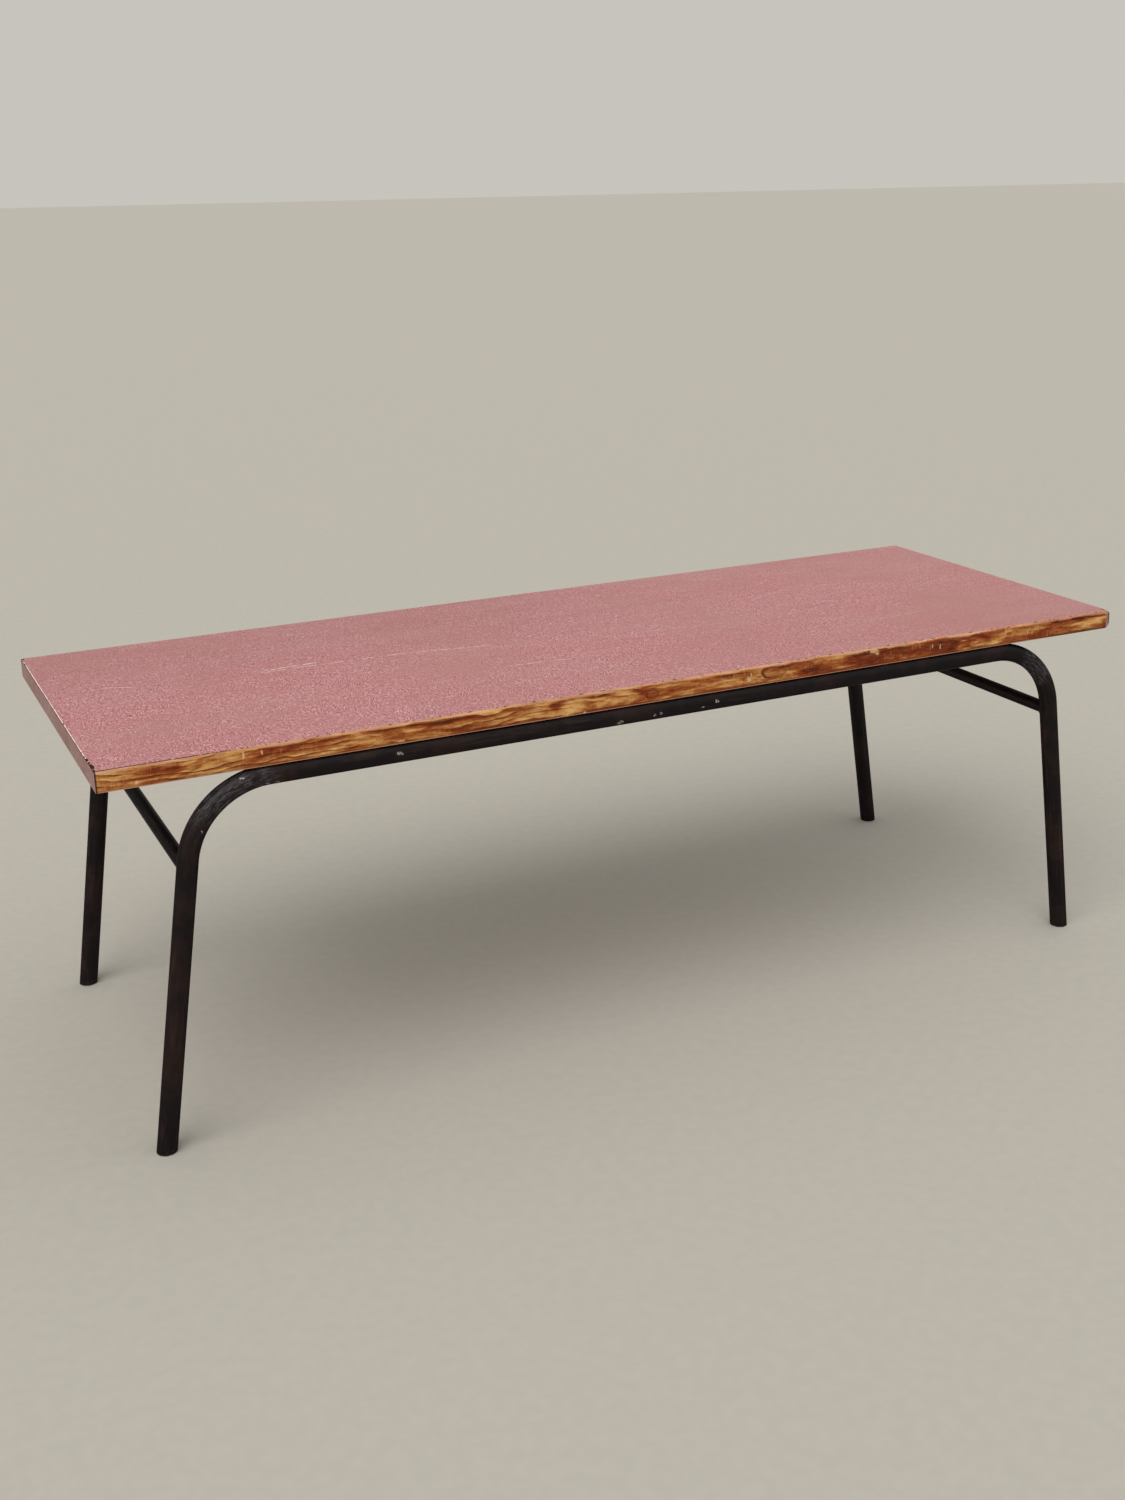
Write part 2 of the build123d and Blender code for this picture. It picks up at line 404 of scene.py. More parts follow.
def laminate_edge_material(name, dark, pale, pale_share):
    """The sheet's cut edge: dark resin core with paler worn places."""
    graph = Graph(name)
    worn = graph.noise(graph.place, 130.0, 3.0, 0.6)
    graph.colour = graph.mix(graph.step(worn, 0.75 - pale_share, 0.9 - pale_share), dark, pale)
    fibres = graph.noise(graph.stretched(graph.place, 1, 1, 8), 500.0, 2.0)
    return graph.finish(0.75, fibres, 0.1 * MM, specular=0.15)


def front_edge_core_material():
    """The core along the long edges: a dark line near the left end that is worn pale further on."""
    graph = Graph("laminate_core_long")
    broken = graph.noise(graph.stretched(graph.place, 1, 1, 0), 70.0, 3.0, 0.7)
    left_part = graph.step(graph.x, -half_length + 0.13, -half_length + 0.3)
    share = graph.step(graph.subtract(broken, graph.times(left_part, 0.13)), 0.38, 0.46)
    graph.colour = graph.mix(share, rgb(206, 160, 136), rgb(64, 30, 26))
    return graph.finish(0.6, broken, 0.1 * MM)


# Scratches on the top as (x, y, end x, end y, half width), in millimetres.
TOP_SCRATCHES = in_metres(5, [
    (-705, 56, -560, 62, 2.2),
    (-720, 46, -350, 42, 1.2),
    (-420, 46, -190, 8, 1.3),
    (-250, -146, -90, -161, 1.1),
    (-1000, 96, -930, 66, 1.2),
    (440, 314, 510, 278, 1.2),
    (120, -50, 330, -72, 0.5),
    (560, -210, 760, -190, 0.5),
    (-860, -240, -790, -300, 0.6),
])

# the end bands' copy is darkened far more than the top's: painted shade on the end faces, with some grime
laminate_decor = laminate_material("laminate_decor", "xy", 0.04, TOP_SCRATCHES)
laminate_band = laminate_material("laminate_band", "yz", 0.58)
laminate_core = laminate_edge_material("laminate_core", rgb(42, 20, 14), rgb(96, 70, 60), 0.1)
# the pale paper line down the short edges' bevels is partly a painted glint along the edge
laminate_paper_glint = laminate_edge_material("laminate_paper_glint", rgb(236, 226, 220), rgb(196, 160, 152), 0.25)
laminate_core_long = front_edge_core_material()
knocked_edge = laminate_edge_material("knocked_edge", rgb(96, 86, 76), rgb(206, 198, 186), 0.3)


# ---- the laminate sheet on top
# Chips along the sheet's short edges: (y, half width, depth) in millimetres, and which end.
EDGE_CHIPS = in_metres(3, [
    (-382, 6, 2, -1),
    (-362, 12, 4.6, -1),
    (-352, 6, 3.4, -1),
    (-339, 5, 2.6, -1),
    (-321, 9, 1.9, -1),
    (-303, 2.5, 1.2, -1),
    (-100, 2, 1, -1),
    (381, 7, 3.6, -1),
    (366, 4, 1.6, -1),
    (340, 3, 1.4, -1),
    (-390, 9, 8, 1),
    (-374, 7, 6, 1),
    (-364, 3, 3, 1),
    (372, 7, 2, 1),
])


def chip_depth(end, y):
    """How far the sheet's short edge has broken away at this y."""
    depth = 0.0
    for chip_y, half_span, deepest, chip_end in EDGE_CHIPS:
        if chip_end == end:
            inside = max(0.0, 1 - ((y - chip_y) / half_span) ** 2)
            depth = max(depth, deepest * sqrt(inside))
    roughness = 0.35 * MM * noise.noise(Vector((y * 400, end * 3.0, 0.5)))
    return max(0.0, depth + (roughness if depth > 0.4 * MM else 0.3 * roughness))


def laminate_outline():
    """The sheet's outline from above, anticlockwise, as (x, y, end chip depth, end, side)."""
    corner_reach = 0.1  # the stations are closer together this near to each corner
    middle = laminate_half_width - corner_reach
    near_corner = spread(-laminate_half_width, -middle, 90)
    ys = near_corner + spread(-middle, middle, 60)[1:-1] + [-y for y in reversed(near_corner)]
    xs = spread(-half_length, half_length, 80)[1:-1]
    outline = [(x, -laminate_half_width, 0.0, 0, -1) for x in xs]
    outline += [(half_length, y, chip_depth(1, y), 1, 0) for y in ys]
    outline += [(x, laminate_half_width, 0.0, 0, 1) for x in reversed(xs)]
    outline += [(-half_length, y, chip_depth(-1, y), -1, 0) for y in reversed(ys)]
    return outline


def laminate_ring(outline, bevel_share, long_inset, height, chip_share):
    """The outline at one height. bevel_share runs from 0 at the sheet's face edge to 1 at its top."""
    ring = []
    for x, y, chip, end, side in outline:
        inset = bevel_run * bevel_share + chip * chip_share
        ring_y = y - side * long_inset
        if end and abs(y) > laminate_half_width - long_inset:
            ring_y = (1 if y > 0 else -1) * (laminate_half_width - long_inset)
        ring.append(knocked_corner((x - end * inset, ring_y, height), table_height))
    return ring


def top_sheet():
    """The sheet as rings from its lower face to its upper face."""
    outline = laminate_outline()
    lower_bevel = table_height - bevel_drop
    paper_glint_line = table_height - bevel_drop * decor_depth
    rings = [
        laminate_ring(outline, 0.0, 0.0, under_laminate, 0.1),
        laminate_ring(outline, 0.0, 0.0, lower_bevel, 0.8),
        laminate_ring(outline, 1 - decor_depth, 0.05 * MM, paper_glint_line, 1.0),
        laminate_ring(outline, 1.0, 0.25 * MM, table_height, 1.0),
    ]
    return loft(rings)


def sheet_material(centre, normal):
    """Decor on the face, white paper with a painted glint then dark core down the bevels, dark core along the
    long edges.
    """
    decor, paper_glint, core, long_core, knocked = range(5)
    if centre.z > table_height - 0.01 * MM:
        return decor
    if centre.x > half_length - 15 * MM and centre.y < -laminate_half_width + 7 * MM:
        return knocked
    if abs(centre.y) > laminate_half_width - 1 * MM:
        return long_core
    on_paper_glint = centre.z > table_height - bevel_drop * decor_depth
    chipped = chip_depth(1 if centre.x > 0 else -1, centre.y) > 0.5 * MM
    return paper_glint if on_paper_glint and not chipped else core


add_piece(
    "pink_laminate_sheet",
    top_sheet(),
    [laminate_decor, laminate_paper_glint, laminate_core, laminate_core_long, knocked_edge],
    ["laminate_top"],
    sharp_angle=15,
    face_material=sheet_material,
)


# ---- solid wood lippings
# Knots in each lipping's face: (x, z, half length, half height) in millimetres, and how red the heart is.
KNOTS = {
    "front": in_metres(4, [(-43.5, 729.3, 13, 9, 0.85), (232, 733, 25, 12.5, 0.35)]),
    "back": in_metres(4, [(-520, 731, 16, 9, 0.8), (410, 725, 22, 10, 0.4)]),
}
# Dents in each face as (x, z, half length, half height, depth), in millimetres.
DINGS = {
    "front": in_metres(5, [
        (-1031, 720.5, 4.5, 3, 0.9),
        (-847, 737, 2.6, 6.5, 0.3),
        (-814, 737.5, 2, 4.5, 0.3),
        (-560, 717, 9, 1.6, 0.5),
        (-226, 712.5, 2, 3, 0.7),
        (-190, 714, 3.5, 1.6, 0.5),
        (173, 727, 5, 6, 0.7),
        (178, 735, 2.5, 5, 0.4),
        (472, 743, 14, 4.5, 0.6),
        (480, 737, 4, 4, 0.4),
        (620, 733, 1.6, 6, 0.4),
        (640, 730, 1.6, 7, 0.4),
        (702, 735, 10, 0.7, 0.1),
        (812, 740, 1, 11, 0.4),
        (872, 731, 1.2, 5, 0.3),
        (884, 730, 1.2, 4, 0.3),
    ]),
    "back": in_metres(5, [
        (-880, 730, 6, 2.5, 0.6),
        (-210, 738, 1.6, 7, 0.5),
        (90, 719, 8, 2.2, 0.6),
        (700, 735, 4, 4, 0.7),
        (960, 722, 5, 3, 0.8),
    ]),
}
tone_contrast = 1.35  # how strongly the patches below count
# Where the varnish has lasted or worn off: (x, z, half length, half height) in millimetres, and the change of
# tone, which is above 0 where the varnish has lasted.
TONES = {
    "front": in_metres(4, [
        (-1060, 730, 140, 26, 0.06),
        (-720, 730, 150, 24, -0.03),
        (-700, 735, 110, 12, 0.08),
        (-730, 719, 90, 5, -0.05),
        (-500, 741, 62, 7, 0.15),
        (-20, 730, 340, 24, -0.045),
        (-360, 734, 100, 16, -0.06),
        (-250, 738, 20, 11, 0.15),
        (-210, 733, 32, 14, -0.07),
        (-155, 741, 34, 5, 0.16),
        (-100, 733, 34, 14, -0.06),
        (25, 731, 36, 9, 0.14),
        (110, 725, 55, 8, -0.07),
        (130, 741, 55, 2.4, 0.2),
        (320, 727, 32, 9, 0.15),
        (380, 736, 36, 13, -0.06),
        (490, 732, 90, 18, 0.13),
        (650, 735, 90, 18, 0.09),
        (770, 740, 50, 10, 0.1),
        (768, 720, 26, 5, -0.14),
        (865, 738, 62, 11, -0.09),
        (950, 733, 46, 12, 0.1),
        (1045, 731, 52, 9, -0.11),
        (1000, 743, 60, 3, 0.16),
    ]),
    "back": in_metres(4, [
        (-900, 733, 90, 14, 0.11),
        (-640, 730, 110, 16, -0.07),
        (-330, 739, 60, 8, 0.14),
        (-50, 730, 120, 14, -0.06),
        (230, 735, 50, 10, 0.13),
        (620, 730, 110, 16, 0.09),
        (930, 734, 80, 12, -0.08),
    ]),
}


def knots_in_wood(graph, side_name):
    """The knots' hearts and dark rims, and the height of the grain once it is pushed aside round them."""
    height = graph.z
    hearts = 0.0
    rims = 0.0
    wobble = graph.wobble(60.0, 0.45)
    for x, z, half_long, half_high, redness in KNOTS[side_name]:
        gap_x = graph.times(graph.subtract(graph.x, x), 1 / half_long)
        gap_z = graph.times(graph.subtract(graph.z, z), 1 / half_high)
        square = graph.add(graph.times(gap_x, gap_x), graph.times(gap_z, gap_z))
        distance = graph.add(graph.math("SQRT", square), wobble)
        push = graph.math("EXPONENT", graph.times(square, -0.45))
        height = graph.subtract(height, graph.times(graph.subtract(graph.z, z), push))
        hearts = graph.blend_of(hearts, graph.step(distance, 1.05, 0.6, 0.0, redness))
        darkest_on_left = graph.step(gap_x, 1.2, -0.9, 0.55, 1.0)
        rim = graph.times(graph.step(distance, 1.16, 1.03), graph.step(distance, 0.68, 0.95), darkest_on_left)
        rims = graph.blend_of(rims, rim)
    return height, hearts, rims


def late_wood_lines(graph, from_face, place, height):
    """Dark late wood: rings round a pith that wanders behind the face, fading in and out along the length."""
    drift_in = graph.grain(place, (2.6, 0, 0), 2.0)
    drift_up = graph.grain(place, (3.1, 0, 0), 2.0)
    ripple = graph.grain(place, (11.0, 40.0, 34.0), 3.0, 0.5)
    depth = graph.add(from_face, 12 * MM, graph.times(drift_in, 60 * MM))
    above_pith = graph.add(graph.subtract(height, underside - 4 * MM), graph.times(drift_up, 60 * MM))
    radius = graph.math("SQRT", graph.add(graph.times(depth, depth), graph.times(above_pith, above_pith)))
    ring_spacing = 9.0 * MM
    ring = graph.math("FRACT", graph.add(graph.times(radius, 1 / ring_spacing), graph.times(ripple, 2.2)))
    # late wood darkens slowly across each ring and ends sharply
    darkness = [(0.0, 0.0), (0.25, 0.15), (0.6, 0.55), (0.82, 1.0), (0.95, 1.0), (1.0, 0.0)]
    line = graph.ramp(ring, [(across_ring, (level, level, level, 1)) for across_ring, level in darkness])
    fading = graph.grain(place, (7.0, 30.0, 60.0), 3.0)
    strength = graph.step(fading, 0.3, 0.52, 0.15, 1.0)
    strength = graph.times(strength, graph.step(graph.x, -0.6, 0.5, 1.0, 0.35))
    return graph.times(line, strength)


def varnish_tone(graph, side_name, place, streaky, late_wood):
    """From 0, worn to golden wood, to 1, where the varnish has lasted and darkened."""
    lengthwise = graph.step(graph.x, -0.9, 0.5, 0.44, 0.55)
    patch = graph.centred(graph.grain(place, (12.0, 34.0, 38.0), 5.0, 0.55, 0.8), 1.05)
    mottle = graph.centred(graph.grain(place, (55.0, 150.0, 170.0), 4.0, 0.6, 0.6), 0.42)
    tone = graph.add(patch, lengthwise, graph.centred(streaky, 0.5), mottle, graph.times(late_wood, 0.22))
    ragged_outline = graph.wobble(1.0, 0.9, (22.0, 60.0, 75.0))
    for x, z, long, high, change in TONES[side_name]:
        centre = (x, SIDES[side_name] * half_width, z)
        patch_mask = graph.near(centre, (long, 16 * MM, high), ragged_outline, 0.4)
        tone = graph.add(tone, graph.times(patch_mask, change * tone_contrast))
    return tone


def wear_edges(graph, from_face, place, streaky, late_wood):
    """Paints the lower edge darker, the lower arris pale as light wear with a painted highlight, and the
    upper arris rubbed down to pale wood.
    """
    ragged = graph.grain(place, (16.0, 70.0, 70.0), 5.0, 0.62)
    torn = graph.grain(place, (90.0, 200.0, 200.0), 4.0, 0.65)
    rubbed = graph.add(graph.z, graph.centred(ragged, 15 * MM), graph.centred(torn, 5 * MM))
    # the lower edge is painted darker, nearly black towards the right end
    low_darkening = graph.step(rubbed, underside + 7.0 * MM, underside + 3.5 * MM)
    low_darkening = graph.times(low_darkening, graph.step(graph.x, -1.0, -0.2, 0.5, 0.8))
    low_edge_colour = graph.mix(graph.step(graph.x, 0.9, 1.06), rgb(104, 44, 20), rgb(50, 24, 14))
    graph.paint(low_darkening, low_edge_colour)
    # the lower arris is painted pale: a painted highlight on lightly worn wood
    on_arris = graph.step(from_face, 3.5 * MM, 1.8 * MM)
    lowest_wear_and_highlight = graph.step(graph.z, underside + 2.4 * MM, underside + 1.3 * MM, 0.0, 0.8)
    graph.paint(graph.times(lowest_wear_and_highlight, on_arris, graph.step(graph.x, 0.98, 0.86)), rgb(216, 160, 126))
    top_rub = graph.step(rubbed, under_laminate - 5.0 * MM, under_laminate - 1.6 * MM)
    pale = graph.mix(graph.step(streaky, 0.35, 0.65), rgb(214, 168, 132), rgb(182, 132, 96))
    pale = graph.mix(graph.times(late_wood, 0.5), pale, rgb(134, 84, 48))
    top_rub = graph.times(top_rub, graph.step(graph.x, 0.6, 1.0, 0.9, 0.5))
    graph.paint(top_rub, pale)


def wood_material(side_name):
    """Old varnished softwood: flame grain, knots, worn golden patches, arrises rubbed pale and a painted
    highlight on the lower arris.
    """
    side = SIDES[side_name]
    seed = 3.7 if side_name == "front" else 9.1
    graph = Graph(f"{side_name}_lipping_wood")
    place = graph.moved(graph.place, (seed, 0, 0))
    height, knot_hearts, knot_rims = knots_in_wood(graph, side_name)
    from_face = graph.subtract(half_width, graph.times(graph.y, side))
    late_wood = late_wood_lines(graph, from_face, place, height)
    fibre = graph.grain(place, (30.0, 600.0, 600.0), 3.0, 0.6)
    streaky = graph.grain(place, (10.0, 90.0, 120.0), 5.0, 0.62, 0.5)
    tone = varnish_tone(graph, side_name, place, streaky, late_wood)
    graph.colour = graph.ramp(tone, [
        (0.26, rgb(222, 174, 110)),
        (0.40, rgb(198, 142, 82)),
        (0.50, rgb(168, 104, 52)),
        (0.60, rgb(148, 72, 28)),
        (0.72, rgb(126, 46, 12)),
        (0.90, rgb(80, 26, 6)),
    ])
    graph.paint(graph.step(late_wood, 0.7, 1.0, 0.0, 0.6), rgb(84, 38, 10))
    graph.paint(knot_hearts, rgb(140, 68, 28))
    graph.paint(knot_rims, rgb(92, 31, 3))
    graph.paint(graph.step(fibre, 0.52, 0.75, 0.0, 0.3), rgb(100, 46, 20))
    graph.paint(graph.step(fibre, 0.48, 0.3, 0.0, 0.2), rgb(226, 176, 112))

    # fine cross-grain scratches, in places
    across = graph.grain(place, (380.0, 30.0, 45.0), 2.0, 0.6)
    scraped = graph.step(graph.grain(place, (12.0, 12.0, 40.0), 2.0), 0.5, 0.62)
    pale_lines = graph.times(graph.step(across, 0.56, 0.68, 0.0, 0.22), scraped)
    dark_lines = graph.times(graph.step(across, 0.44, 0.32, 0.0, 0.25), scraped)
    graph.paint(pale_lines, rgb(216, 168, 108))
    graph.paint(dark_lines, rgb(104, 52, 24))
    wear_edges(graph, from_face, place, streaky, late_wood)

    torn_outline = graph.wobble(260.0, 1.0)
    marks = [
        graph.near((x, side * half_width, z), (long, 6 * MM, high), torn_outline, 0.5)
        for x, z, long, high, _ in DINGS[side_name]
    ]
    graph.paint(graph.blend_of(*marks), rgb(228, 192, 146), 0.65)

    if side_name == "front":
        # the knocked right corner shows streaks of glue and grey wood
        corner = graph.step(graph.x, core_half_length - 10 * MM, core_half_length - 5 * MM)
        layers = graph.grain(place, (420.0, 10.0, 14.0), 3.0, 0.6)
        streaks = graph.mix(graph.step(layers, 0.42, 0.6), rgb(84, 66, 48), rgb(206, 196, 176))
        graph.paint(corner, streaks, 0.75)

    # glue and dirt darken the last few millimetres at each end
    from_middle = graph.math("ABSOLUTE", graph.x)
    at_end = graph.step(from_middle, core_half_length - 2.6 * MM, core_half_length - 1.4 * MM)
    graph.paint(at_end, rgb(52, 28, 18), 0.85)
    roughness = graph.step(tone, 0.4, 0.7, 0.58, 0.44)
    relief = graph.add(graph.times(fibre, 0.6), graph.times(late_wood, 0.4))
    return graph.finish(roughness, relief, 0.16 * MM, specular=0.16)


def lipping_section(steps_up=10):
    """The lipping's outline as (in from the long face, z), from the inner bottom to the inner top."""
    points = [(lipping_depth, underside)]
    for angle in spread(0.0, pi / 2, 5):
        points.append((lower_arris * (1 - sin(angle)), underside + lower_arris * (1 - cos(angle))))
    face_top = under_laminate - bare_strip
    points += [(0.0, z) for z in spread(underside + lower_arris, face_top, steps_up)[1:-1]]
    for angle in spread(0.0, pi / 2, 8):
        points.append((bare_strip * (1 - cos(angle)), face_top + bare_strip * sin(angle)))
    points.append((lipping_depth, under_laminate))
    return points


def wear_at(side_name, x, z):
    """How far the long face is dented or worn in at this place."""
    depth = 0.12 * MM * (1 + noise.noise(Vector((x * 25, z * 60, SIDES[side_name] * 4.0))))
    for ding_x, ding_z, long, high, deepest in DINGS[side_name]:
        depth += deepest * bump_at(hypot((x - ding_x) / long, (z - ding_z) / high), 1.2)
    arris = max(0.0, (z - (under_laminate - bare_strip)) / bare_strip)
    depth += arris * 0.5 * MM * (1 + noise.noise(Vector((x * 60, 2.0, SIDES[side_name] * 7.0))))
    return depth


def lipping(side_name):
    """One lipping, lofted along its length."""
    side = SIDES[side_name]
    section = lipping_section()
    spacing = 3 * MM
    rings = []
    for x in spread(-core_half_length, core_half_length, ceil(2 * core_half_length / spacing)):
        ring = []
        for inward, z in section:
            worn = 0.0
            if inward < bare_strip - 0.1 * MM:
                worn = wear_at(side_name, x, z) * (1 - 0.6 * inward / bare_strip)
            drop = worn * 0.5 if z > under_laminate - bare_strip / 2 else 0.0
            ring.append(knocked_corner((x, side * (half_width - inward - worn), z - drop), under_laminate))
        rings.append(ring)
    return loft(rings)


for side_name in SIDES:
    wood = [wood_material(side_name)]
    add_piece(
        f"{side_name}_wood_lipping", lipping(side_name), wood, [f"{side_name}_edge_lipping"]
    )


# ---- end bands
def band_outline(end):
    """The band's outline as (y, z): the whole top's section, with its upper corners knocked about."""
    half_section = lipping_section(steps_up=6)[1:-1]
    front = [(-half_width + inward, z) for inward, z in half_section]
    reach = half_width - bare_strip
    upper = [(y, under_laminate) for y in spread(-reach, reach, 60)[1:-1]]
    back = [(-y, z) for y, z in reversed(front)]
    lower = [(y, underside) for y in spread(reach, -reach, 60)[1:-1]]
    outline = []
    for y, z in front + upper + back + lower:
        corner = hypot(half_width - abs(y), under_laminate - z)
        knocked = 1.6 * MM if y < 0 and end > 0 else 0.6 * MM
        worn = knocked * bump_at(corner, 9 * MM)
        rough = 0.08 * MM * (1 + noise.noise(Vector((y * 500, z * 500, end * 5.0))))
        outline.append((y - (1 if y > 0 else -1) * (worn + rough), min(z, under_laminate) - worn))
    return outline


def end_band(end):
    """One band, with a fine rounded outer edge."""
    outline = band_outline(end)
    middle_z = (underside + under_laminate) / 2
    rings = []
    for out, inset in ((0.0, 0.0), (0.7, 0.0), (0.92, 0.12 * MM), (1.0, 0.35 * MM)):
        x = end * (core_half_length + (half_length - core_half_length) * out)
        ring = []
        for y, z in outline:
            inner_z = z - (1 if z > middle_z else -1) * inset
            ring.append(knocked_corner((x, y - (1 if y > 0 else -1) * inset, inner_z), under_laminate))
        rings.append(ring)
    return loft(rings)


def band_face_material(centre, normal):
    """Decor on the face, core at the cut edges, and the knocked right front edge rubbed pale."""
    decor, core, knocked = range(3)
    if centre.x > 0 and centre.y < -half_width + 4 * MM and normal.x < 0.9:
        return knocked
    return decor if abs(normal.x) > 0.3 else core


for end_name, end in ENDS.items():
    band_looks = [laminate_band, laminate_core, knocked_edge]
    add_piece(
        f"{end_name}_laminate_band", end_band(end), band_looks, [f"{end_name}_end_band"],
        sharp_angle=25, face_material=band_face_material,
    )


# ---- black enamel
# Chips in the enamel as (x, y, z, half length, half height), in millimetres.
ENAMEL_CHIPS = in_metres(5, [
    (-854, -391, 696.5, 6, 1.6),
    (-808, -391, 680, 4, 1.2),
    (-790, -391, 680, 7, 1.2),
    (-931, -390, 613, 1.4, 6),
    (-564, -395, 695, 6, 3),
    (-116, -394, 683, 6, 4),
    (-42, -396, 686.5, 3, 3.5),
    (-28, -396, 688.5, 3, 2.5),
    (65, -396, 687, 3.5, 1.6),
    (97, -396, 695, 3.5, 3.5),
    (480, 396, 690, 5, 3),
    (-350, 396, 686, 4, 2.5),
])
# Scuffed places on the outsides of the bends, painted paler as scuffs and as a painted highlight, as (x, y,
# z, radius), in millimetres.
SCUFFS_AND_HIGHLIGHTS = in_metres(4, [
    (-905, -377, 668, 60),
    (-858, -390, 695, 34),
    (-812, -390, 686, 26),
    (893, -385, 664, 26),
    (905, -385, 650, 50),
    (905, 380, 670, 50),
    (-900, 380, 672, 45),
])


def enamel_material(name, tubes):
    """Old brushed black enamel. tubes says that the piece has its lengthwise places as a UV map."""
    graph = Graph(name)
    cloudy = graph.noise(graph.place, 9.0, 4.0, 0.6)
    graph.colour = graph.ramp(cloudy, [
        (0.3, rgb(8, 4, 7)), (0.5, rgb(14, 9, 11)), (0.62, rgb(34, 19, 18)), (0.75, rgb(15, 10, 14)),
    ])
    specks = graph.noise(graph.place, 420.0, 2.0, 0.6)
    brush = graph.noise(graph.place, 150.0, 3.0, 0.55)
    roughness = graph.step(cloudy, 0.3, 0.7, 0.3, 0.46)
    height = brush
    if tubes:
        along = graph.coordinates.outputs["UV"]
        streaks = graph.grain(along, (16.0, 420.0, 1.0), 4.0, 0.65)
        zones = graph.grain(along, (5.0, 26.0, 1.0), 3.0)
        strokes = graph.grain(along, (15.0, 130.0, 1.0), 4.0, 0.6)
        scratched = graph.times(graph.step(streaks, 0.6, 0.72), graph.step(zones, 0.42, 0.62))
        browned = graph.times(graph.step(strokes, 0.48, 0.66), graph.step(zones, 0.42, 0.6, 0.05, 0.55))
        graph.paint(browned, rgb(52, 34, 30))
        graph.paint(scratched, rgb(84, 70, 66), 0.35)
        # the bends are painted paler and bluish grey here: partly real rubbing, partly a painted highlight
        # along the bends
        rub_highlight_outline = graph.wobble(28.0, 0.9)
        rub_and_highlight = graph.blend_of(*[graph.near((x, y, z), (r, r, r), rub_highlight_outline, 0.6) for x, y, z, r in SCUFFS_AND_HIGHLIGHTS])
        rub_highlight_grain = graph.step(graph.grain(along, (60.0, 240.0, 1.0), 4.0, 0.7), 0.44, 0.68)
        rubbed = graph.times(rub_and_highlight, rub_highlight_grain)
        graph.paint(rub_and_highlight, rgb(48, 42, 44), 0.25)
        graph.paint(rubbed, rgb(108, 106, 112), 0.5)
        roughness = graph.add(roughness, graph.times(rubbed, 0.25))
        chip_outline = graph.wobble(330.0, 1.5)
        chips = graph.blend_of(*[
            graph.near((x, y, z), (long, 8 * MM, high), chip_outline) for x, y, z, long, high in ENAMEL_CHIPS
        ])
        chipped = graph.mix(graph.step(specks, 0.4, 0.55), rgb(178, 171, 164), rgb(88, 70, 60))
        graph.paint(chips, chipped)
        # knocks near the floor
        near_floor = graph.step(graph.z, 0.14, 0.02)
        knocked = graph.grain(along, (90.0, 260.0, 1.0), 3.0)
        knocks = graph.times(graph.step(knocked, 0.67, 0.73), near_floor)
        graph.paint(knocks, rgb(150, 140, 130), 0.6)
        height = graph.subtract(brush, graph.times(graph.blend_of(chips, knocks), 0.8))
    graph.paint(graph.step(specks, 0.72, 0.78, 0.0, 0.6), rgb(90, 70, 60))
    # the reflection is cut down at a glancing angle, painted shade that stands in for darker surroundings
    # than the bright world
    glance = graph.node("LayerWeight", {"Blend": 0.5}).outputs["Facing"]
    sheen = graph.step(glance, 0.1, 0.7, 0.17, 0.01)
    return graph.finish(roughness, height, 0.12 * MM, specular=sheen)


tube_enamel = enamel_material("tube_enamel", True)
plain_enamel = enamel_material("plain_enamel", False)


# ---- bent tubes
def half_centre_line():
    """The left half of a side tube's centre line, as (x, z, slope) from the foot to mid-rail."""
    turn = pi / 2 - splay
    knee_x = foot_x - rail_height * tan(splay)
    tangent = bend_radius * tan(turn / 2)
    start_x = -knee_x - tangent * sin(splay)
    start_z = rail_height - tangent * cos(splay)
    stations = [(-foot_x + z * tan(splay), z, turn) for z in spread(plug_head, start_z, 26)[:-1]]
    centre_x = start_x + bend_radius * sin(turn)
    centre_z = start_z - bend_radius * cos(turn)
    for slope in spread(turn, 0.0, 44):
        stations.append((centre_x - bend_radius * sin(slope), centre_z + bend_radius * cos(slope), slope))
    return stations + [(x, rail_height, 0.0) for x in spread(centre_x, 0.0, 24)[1:]]


def side_tube(side):
    """One bent tube, as a shape and the lengthwise and round places of its vertices."""
    half = half_centre_line()
    line = half + [(-x, z, -slope) for x, z, slope in reversed(half[:-1])]
    rings = []
    along = []
    travelled = 0.0
    for i, (x, z, slope) in enumerate(line):
        if i:
            travelled += hypot(x - line[i - 1][0], z - line[i - 1][1])
        ring = []
        for angle in round_angles(56):
            out = tube_radius * cos(angle)
            across = tube_radius * sin(angle)
            point = Vector((x - out * sin(slope), side * rail_y + across, z + out * cos(slope)))
            if i in (0, len(line) - 1):
                # the foot is cut level, so its ring slides along the leg to the cut's height
                slide = (plug_head - point.z) / sin(slope)
                point += Vector((cos(slope), 0, sin(slope))) * slide
            ring.append(point)
            along.append((travelled, angle * tube_radius))
        rings.append(ring)
    return loft(rings), along


for side_name, side in SIDES.items():
    shape, along = side_tube(side)
    replaced = [f"{side_name}_side_tube"]
    add_piece(f"{side_name}_bent_tube", shape, [tube_enamel], replaced, along=along)


# ---- cross bars and their welds
def bar_end_y(angle, out=0.0):
    """How far from the table's middle a bar meets its leg, at an angle round the bar."""
    reach = bar_radius + out
    off_centre = reach * cos(angle) * cos(splay) + reach * sin(angle) * sin(splay)
    return rail_y - sqrt(tube_radius**2 - min(abs(off_centre), tube_radius * 0.999) ** 2)


def round_bar(end, side, angle, out, y):
    """The point at an angle round a bar's axis, that far out from its skin and that far from the middle."""
    reach = bar_radius + out
    return Vector((end * (bar_x + reach * cos(angle)), side * y, bar_height + reach * sin(angle)))


